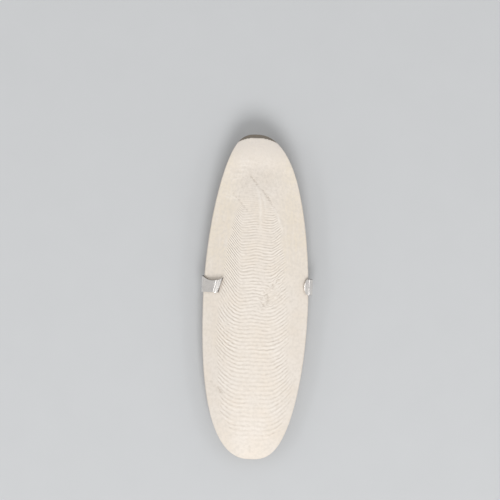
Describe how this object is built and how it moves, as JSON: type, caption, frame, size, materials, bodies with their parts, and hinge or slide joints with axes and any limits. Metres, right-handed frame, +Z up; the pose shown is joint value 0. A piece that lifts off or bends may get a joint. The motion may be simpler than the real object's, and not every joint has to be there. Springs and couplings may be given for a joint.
{
  "type": "cuttlebone with cage clip",
  "caption": "Long oval cuttlebone, striped chalky face up and hard domed back down, gripped round its middle by a springy metal strip clip with tongues for cage bars.",
  "frame": {"origin": "middle of the box of the whole object, on the surface that it rests on", "axes": "+Y along the bone towards its tail end, +X across it towards the clip's short claw, +Z up, out of the striped face"},
  "size_m": [0.0546, 0.1598, 0.017],
  "materials": {
    "chalky_bone": "matt chalky cream with fine growth lines, horn-brown rim at the tail end",
    "nickel_strip": "bright nickel plate on rolled spring steel, with fine lines along the strip"
  },
  "bodies": {
    "root": {"cuttlebone": "chalky_bone", "cage_clip": "nickel_strip"}
  },
  "joints": []
}
